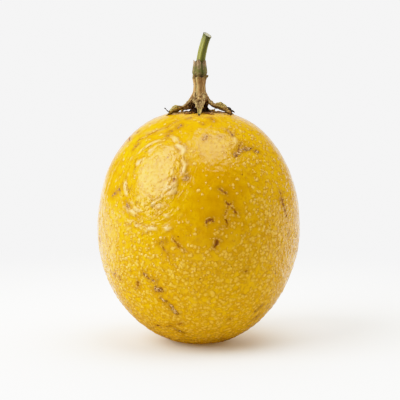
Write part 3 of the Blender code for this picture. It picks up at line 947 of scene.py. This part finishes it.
def make_stalk(finish):
    rings, turn = [], full_turn(90)
    for radius, height in smooth_line(STALK_PROFILE, 90):
        ribs = 0.09 * np.cos(STALK_RIBS * (turn + 0.03 * height)) * smooth_step(3.8, 7, height)
        lobes = 0.25 * smooth_step(7, 4.5, height) * np.cos(5 * (turn - radians(-20))) * (height > 3)
        wide = max(radius, 0.05) + (ribs + lobes) * min(radius / 1.5, 1)
        rings.append(level_ring(wide, turn, height))
    bud = tube(BUD_ROUTE, BUD_RADII, around=14)
    points, faces = joined([skin_over(rings[::-1]), skin_over(bud)])
    stalk = add_piece("calyx_stalk", on_fruit(points), faces, "stalk", finish)
    fuse(stalk)
    roughen(stalk, 0.05, 0.03, 21)

    points = points_of(stalk)
    x, y, height = off_fruit(points).T
    turn = np.arctan2(y, x)
    hollow = np.zeros(len(points))
    for direction, level, size in JOINT_HOLLOWS:
        gap = (turn - radians(direction) + pi) % (2 * pi) - pi
        hollow = np.maximum(hollow, bell(np.hypot(gap * 2.4, (height - level) * 1.4) / size))
    warty = smooth_step(7.3, 5.5, height) * smooth_step(3.0, 4.0, height)
    push_out(stalk, 0.16 * warty * noise_at(points, 0.8, 23) - 0.45 * hollow)

    neck = smooth_step(5.6, 6.6, height) * smooth_step(12.2, 11.4, height)
    past_seam = turn - SEAM
    add_attributes(
        stalk,
        seam=neck * bell(past_seam / 0.06),
        browner=neck * 0.65 * bell((past_seam - 0.6) / 0.5),
        groove=neck * (bell((past_seam + 0.19) / 0.07) + 0.7 * bell((past_seam - 0.75) / 0.09)),
        grain=columns(turn * 2.2, height, np.hypot(x, y)),
        shade=np.maximum(smooth_step(0.35, 0.8, hollow), smooth_step(3.9, 3.2, height)),
    )


def make_sheath(finish):
    """A thin sleeve, as rings up its outside and down its inside."""
    around, rows = 150, 44
    turn = full_turn(around) - pi
    drop = np.interp(np.degrees(turn), *np.array(SHEATH_RIM).T)
    drop += 0.12 * noise_at(columns(np.cos(turn), np.sin(turn), 0), 0.12, 31)
    radii, heights = smooth_line(SHEATH_PROFILE, 60).T
    outer, inner, shares = [], [], np.linspace(0, 1, rows)
    for share in shares:
        height = heights[0] + (heights[-1] - heights[0] - np.clip(drop, 0, 3)) * share
        radius = np.interp(height, heights, radii) + 0.12 * np.cos(3 * turn + 1) * share**2
        radius += 0.07 * np.cos(11 * turn + 0.8 * share) + 0.05 * np.cos(6 * turn + 2 * share)
        radius += 0.22 * smooth_step(0.75, 1.0, share) * smooth_step(0.5, 0.0, drop)
        outer.append(level_ring(radius, turn, height))
        inner.append(level_ring(radius - SHEATH_WALL * (1 - 0.55 * share), turn, height))
    rings = outer + inner[::-1]
    points = np.concatenate(rings)
    faces = ring_faces(len(rings), around, closed=True)
    sheath = add_piece("torn_sheath", on_fruit(points), faces, "sheath", finish)
    roughen(sheath, 0.03, 0.025, 33)

    height = points[:, 2]
    inside = np.repeat((0, 1), rows * around)
    turn = np.tile(turn, len(rings))
    rim = smooth_step(0.93, 1.0, np.repeat(np.append(shares, shares[::-1]), around))
    # Painted shade in two creases down the outside
    crease = bell((turn - radians(-70)) / 0.2) + 0.5 * bell((turn - radians(-128)) / 0.12)
    crease *= smooth_step(17.0, 15.5, height) * (1 - inside)
    hollow = smooth_step(12.9, 12.1, height) * smooth_step(0.0, 0.35, noise_at(on_fruit(points), 0.9, 34))
    add_attributes(
        sheath,
        grain=columns(turn * 2.2, height, inside),
        crease=np.clip(crease, 0, 1),
        shade=np.clip(0.5 * rim + 0.8 * hollow + 0.7 * inside, 0, 1),
    )


def make_stem(finish):
    count, around = 80, 72
    *line, radii = smooth_line(STEM_ROUTE, count).T
    line = columns(*line) - (STALK_X, 0, 0)
    turn = full_turn(around)
    along = unit(np.gradient(line, axis=0))
    side = unit(np.cross((0.0, 1.0, 0.0), along))
    other = np.cross(along, side)
    ribs = np.cos(STEM_RIBS * (turn - STEM_FURROW) - pi)
    past_furrow = turn - STEM_FURROW - 2 * pi
    # painted shading: high in the furrow for painted shade, below zero at the edge to its right for a painted
    # highlight
    furrow = bell(past_furrow / 0.36) + 0.2 - 0.2 * ribs - bell((past_furrow - 0.85) / 0.35)
    rings, cut = [], []
    for i in range(count):
        wide = radii[i] * (1 + 0.055 * ribs + 0.02 * np.cos(2 * turn))
        ring = line[i] + wide[:, None] * (np.cos(turn)[:, None] * side[i] + np.sin(turn)[:, None] * other[i])
        slope = ((line[i] - ring) @ CUT_TILT) / (along[i] @ CUT_TILT)
        share = i / (count - 1)
        rings.append(ring + smooth_step(0.85, 1.0, share) * slope[:, None] * along[i])
        cut.append(0.35 * smooth_step(0.955, 1.0, share))
    rim = rings[-1]
    for share, sink, tone in CUT_RINGS:
        rings.append(line[-1] + (rim - line[-1]) * share - along[-1] * sink)
        cut.append(tone)
    points, faces = skin_over(rings)
    stem = add_piece("cut_stem", on_fruit(points), faces, "stem", finish)
    roughen(stem, 0.02, 0.006, 51, 1.6, 0.5)

    # The last two points are the middles of both ends
    ways = np.append(np.tile(turn, len(rings)), (0, 0))
    far = np.append(np.repeat(np.arange(len(rings)), around), (0, len(rings)))
    add_attributes(
        stem,
        grain=columns(ways * 1.3, far * 0.17, 0),
        furrow=np.append(np.tile(np.clip(furrow, -1, 1), count), np.zeros(len(points) - count * around)),
        cut=np.append(np.repeat(cut, around), (0, 1)),
    )


def sepal_rings(route, bend, seed):
    """A leaf that is curled into a channel open below, with a keel along its top, as rings of points."""
    count = 70
    reach, height, *halves = smooth_line(route, count).T
    share = np.linspace(0, 1, count)
    line = columns(reach, bend * np.sin(pi * share * 0.8) ** 2, height)
    up = unit(np.cross((0, 1, 0), np.gradient(line, axis=0)))
    left, right = (1 + 0.3 * noise_at(columns(share * 9, k, 0), 1, seed) for k in (0, 5))
    x, y = (part(full_turn(44)) for part in (np.cos, np.sin))
    section = y - 0.75 * x**2 + np.where(y < 0, bell(x / 0.42), 0) + np.where(y > 0, 0.28 * bell(x / 0.16), 0)
    rings = []
    for i in range(count):
        half_width, half_thick = np.maximum((halves[0][i], halves[1][i]), 0.06)
        across = x * half_width * np.where(x > 0, right[i], left[i])
        rings.append(line[i] + columns(0, across, 0) + half_thick * section[:, None] * up[i])
    return np.array(rings), line


def make_sepal(name, finish, seed):
    direction, bend, route = SEPALS[name]
    rings, line = sepal_rings(route, bend, seed)
    awn_radius, awn_route = AWNS[name]
    awn = smooth_line(awn_route, 16)
    awn_skin = skin_over(tube(awn, awn_radius * np.linspace(1, 0.5, len(awn)), around=12))
    points, faces = joined([skin_over(rings[:, ::-1]), awn_skin])
    sepal = add_piece("dried_" + name, on_fruit(points, direction), faces, name, finish)
    fuse(sepal)

    points = points_of(sepal)
    local = off_fruit(points, direction)
    offsets = np.linalg.norm(local[:, None, (0, 2)] - line[None, ::2, (0, 2)], axis=2)
    nearest = offsets.argmin(axis=1) * 2
    length = np.append(0, np.cumsum(np.linalg.norm(np.diff(line, axis=0), axis=1)))[nearest]
    to_awn = np.linalg.norm(local[:, None] - awn[None, 3:], axis=2).min(axis=1)
    along = np.maximum(nearest / (len(line) - 1), smooth_step(awn_radius + 0.2, awn_radius + 0.05, to_awn))
    _, across, above = (local - line[nearest]).T

    fibres = noise_at(columns(across / 0.4, length / 2.2, 0), 1, seed + 3)
    warts = 0.17 * noise_at(points, 0.8, seed + 4) + 0.10 * noise_at(points, 0.4, seed + 5)
    push_out(sepal, (1.1 + 0.5 * smooth_step(0.55, 0.25, along)) * warts + 0.07 * fibres)
    add_attributes(sepal, grain=columns(across, length, above), along=along)


def make_petal(name, finish, seed):
    """A thin withered strap that lies on the skin, with curled and torn edges."""
    direction, tip = PETALS[name]
    share = np.linspace(0, 1, 60)
    reach = PETAL_ROOT + (tip - PETAL_ROOT) * share
    sideways, *waves = (noise_at(columns(share * k, 0, 0), 1, seed + i) for i, k in enumerate((5, 8, 11)))
    away = np.hypot(reach * cos(radians(direction)) + STALK_X, reach * sin(radians(direction)))
    lift = 0.22 + 0.25 * np.abs(waves[0]) - skin_drop(away)
    half_width = (0.55 + 0.45 * np.sin(pi * share)) * (1 + 0.35 * waves[1]) * (1 - 0.6 * share**4)
    curl = 0.25 * (0.5 + 0.5 * np.sin(9 * share + seed))
    turn = full_turn(28)
    across = half_width[:, None] * np.cos(turn)
    up = 0.12 * np.sin(turn) + curl[:, None] * (across / 0.9) ** 2
    rings = columns(reach[:, None], 0.6 * sideways[:, None] + across, lift[:, None] + up)
    points, faces = skin_over(rings[:, ::-1])
    petal = add_piece("withered_" + name, on_fruit(points, direction), faces, name, finish)
    roughen(petal, 0.05, 0.03, seed + 3)
    add_attributes(petal, grain=columns(points[:, 1], points[:, 0], 0))


def make_threads(finish, seed):
    """The dark tangle of dried threads between the sepals, from under the stalk down to the skin."""
    draw = random.Random(seed)
    parts = []
    for i in range(THREADS):
        direction = 360 * i / THREADS + draw.uniform(-6, 6)
        start, middle, end = draw.uniform(1.2, 2.3), draw.uniform(1.6, 2.8), draw.uniform(1.8, 3.5)
        top = draw.uniform(2.6, 3.9) if draw.random() < 0.6 else draw.uniform(0.8, 2.0)
        floor = 0.1 - skin_drop(end + STALK_X)
        sway = draw.uniform(-0.7, 0.7)
        route = [
            (start, 0, top), (middle, sway * 0.4, top * 0.65), (end, sway, top * 0.25),
            (end + draw.uniform(-0.9, 0.7), sway * 1.6, floor + draw.uniform(0, 0.5)),
        ]
        line = on_fruit(smooth_line(route, 12), direction)
        radii = draw.uniform(0.10, 0.22) * np.linspace(1, 0.6, len(line))
        parts.append(skin_over(tube(line, radii, around=7)))
    points, faces = joined(parts)
    threads = add_piece("corona_threads", points, faces, "threads", finish)
    roughen(threads, 0.03, 0.02, seed + 1)
    add_attributes(threads, grain=points[:, (0, 2, 1)])


# ---------------------------------------------------------------- studio

CAMERA_ELEVATION = 8  # degrees
CAMERA_DISTANCE = 600
CAMERA_AIM = (0.49, 0, 46.6)
FRAME_WIDTH = 130.7  # what the camera sees at the object, in mm
SENSOR_WIDTH = 36

# Brightness is counted so that a white surface in even light of 1 sends back 1
BACKDROP = 1.22  # of the pale background, as the camera sees it
ROOM = 1.6  # of the pale walls behind and beside the fruit
DARK_SIDE = 0.02  # of the camera's side of the room
LOW_SHARE, HIGH_SHARE = 1.2, 0.8  # shares of that low down and overhead
SIDE_GLEAM, BACK_GLEAM = 0.005, 0.45  # shares of the walls' brightness that reflections show
LIGHT_AIM = (0, 0, 42)
SOFTBOXES = [  # (name, direction, distance, size, brightness)
    ("key", (-0.72, -0.37, 0.59), 1200, (1070, 1280), 4.8),
    ("overhead", (0.20, -0.13, 0.964), 1300, (1150, 900), 2.9),
]

FLOOR_RADIUS = 3000
FLOOR_WHITE = (0.755, 0.785, 0.79)
FLOOR_GLOW = (0.115, 0.072, 0.025)  # keeps the shadow light and warm
FLOOR_FADE = (70, 190)  # distances from the fruit between which the floor fades into the backdrop
FRONT_FLOOR, BACK_FLOOR = 0.3, 1.35  # brightness of the faded floor as it lights the fruit
RIGHT_FLOOR = 0.75  # share of that on the right
FRONT_GLEAM = 0.01  # share of the floor's brightness in front that reflections show

WHITEST = 4.0  # brightness that is shown as full white
TONES = [  # (brightness, how bright it is shown)
    (0.5, 0.5), (0.8, 0.72), (1.0, 0.825), (1.17, 0.895), (1.35, 0.943), (1.7, 0.982), (2.5, 0.997),
]


def place_facing(item, aim, out, distance):
    """Puts a camera or a light this far out from a point, facing the point."""
    bpy.context.scene.collection.objects.link(item)
    item.location = (Vector(aim) + out * distance) * MM
    item.rotation_mode = "QUATERNION"
    item.rotation_quaternion = (-out).to_track_quat("-Z", "Y")


def make_camera():
    data = bpy.data.cameras.new("camera")
    data.sensor_width = SENSOR_WIDTH
    data.lens = SENSOR_WIDTH * CAMERA_DISTANCE / FRAME_WIDTH
    data.clip_start = 0.05
    camera = bpy.data.objects.new("camera", data)
    tilt = radians(CAMERA_ELEVATION)
    place_facing(camera, CAMERA_AIM, Vector((0, -cos(tilt), sin(tilt))), CAMERA_DISTANCE)
    bpy.context.scene.camera = camera


def make_softbox(name, direction, distance, size, brightness):
    """An oval softbox that faces the fruit. Brightness is that of its front."""
    data = bpy.data.lights.new(name, "AREA")
    data.shape = "ELLIPSE"
    data.size, data.size_y = (side * MM for side in size)
    data.energy = brightness * pi * (pi / 4 * data.size * data.size_y)
    light = bpy.data.objects.new(name, data)
    light.visible_camera = False
    place_facing(light, LIGHT_AIM, Vector(direction).normalized(), distance)


def make_floor():
    """A pale disc that fades into the backdrop. It is darker in front of the fruit and on the right."""
    mesh = bpy.data.meshes.new("floor")
    edge = level_ring(FLOOR_RADIUS * MM, full_turn(48), 0)
    mesh.from_pydata(edge.tolist(), [], [tuple(range(len(edge)))])
    floor = bpy.data.objects.new("floor", mesh)
    bpy.context.scene.collection.objects.link(floor)

    s = Shader("floor")
    place = s.place()
    across, back = s.split(place)[:2]
    away = s.node("VectorMath", {"operation": "LENGTH"}, Vector=place).outputs["Value"]
    ray = s.node("LightPath").outputs
    from_behind = s.step(back, -420, -60, FRONT_FLOOR, BACK_FLOOR)
    from_side = s.step(across, 20, 260, 1.0, RIGHT_FLOOR)
    seen = s.between(ray["Is Camera Ray"], s.times(from_behind, from_side), BACKDROP)
    s.put(s.surface.inputs["Base Color"], FLOOR_WHITE)
    s.put(s.surface.inputs["Emission Color"], FLOOR_GLOW)
    for name, value in (("Emission Strength", 1.0), ("Roughness", 0.9), ("Specular IOR Level", 0.1)):
        s.surface.inputs[name].default_value = value
    surface = s.blend(s.step(away, *FLOOR_FADE), s.surface.outputs[0], s.emission(seen))
    dimming = s.step(back, -15, 60, 1 - FRONT_GLEAM, 0.0)
    surface = s.blend(s.times(ray["Is Glossy Ray"], dimming), surface, s.emission(0.0))
    s.put(s.tree.nodes["Material Output"].inputs["Surface"], surface)
    mesh.materials.append(s.material)


def make_world():
    """A pale room that is bright behind and beside the fruit and dark on the camera's side."""
    world = bpy.data.worlds.new("room")
    world.use_nodes = True
    bpy.context.scene.world = world
    s = Nodes(world.node_tree)
    _, back, up = s.split(s.node("TexCoord").outputs["Generated"])[:3]
    ray = s.node("LightPath").outputs
    walls = s.step(back, -0.65, 0.2, DARK_SIDE, ROOM)
    by_height = s.step(up, 0.1, 0.8, LOW_SHARE, HIGH_SHARE)
    gleam = s.step(back, 0.78, 1.0, SIDE_GLEAM, BACK_GLEAM)
    room = s.times(s.times(walls, by_height), s.between(ray["Is Glossy Ray"], 1.0, gleam))
    seen = s.between(ray["Is Camera Ray"], room, BACKDROP)
    background = s.tree.nodes["Background"]
    s.put(background.inputs["Color"], (1, 1, 1))
    s.put(background.inputs["Strength"], seen)


def soften_whites():
    """Bright light fades into white along a curve, as in a camera, and isn't cut off."""
    view = bpy.context.scene.view_settings
    view.view_transform = "Standard"
    view.look = "None"
    view.use_curve_mapping = True
    mapping = view.curve_mapping
    mapping.white_level = (WHITEST,) * 3
    points = mapping.curves[3].points
    points[0].location, points[1].location = (0, 0), (1, 1)
    for light, shown in TONES:
        points.new(light / WHITEST, shown)
    mapping.update()


def make_studio():
    make_camera()
    make_world()
    make_floor()
    for softbox in SOFTBOXES:
        make_softbox(*softbox)
    soften_whites()


def make_object():
    make_fruit(rind_material())
    make_stalk(bark_material())
    make_sheath(sleeve_material())
    make_stem(green_material())
    leaf = leaf_material()
    petal = withered_material("dry_petal", PETAL_COLOURS)
    for i, name in enumerate(SEPALS):
        make_sepal(name, leaf, 60 + 10 * i)
    for i, name in enumerate(PETALS):
        make_petal(name, petal, 120 + 10 * i)
    make_threads(withered_material("withered", THREAD_COLOURS), 7)


make_studio()
make_object()
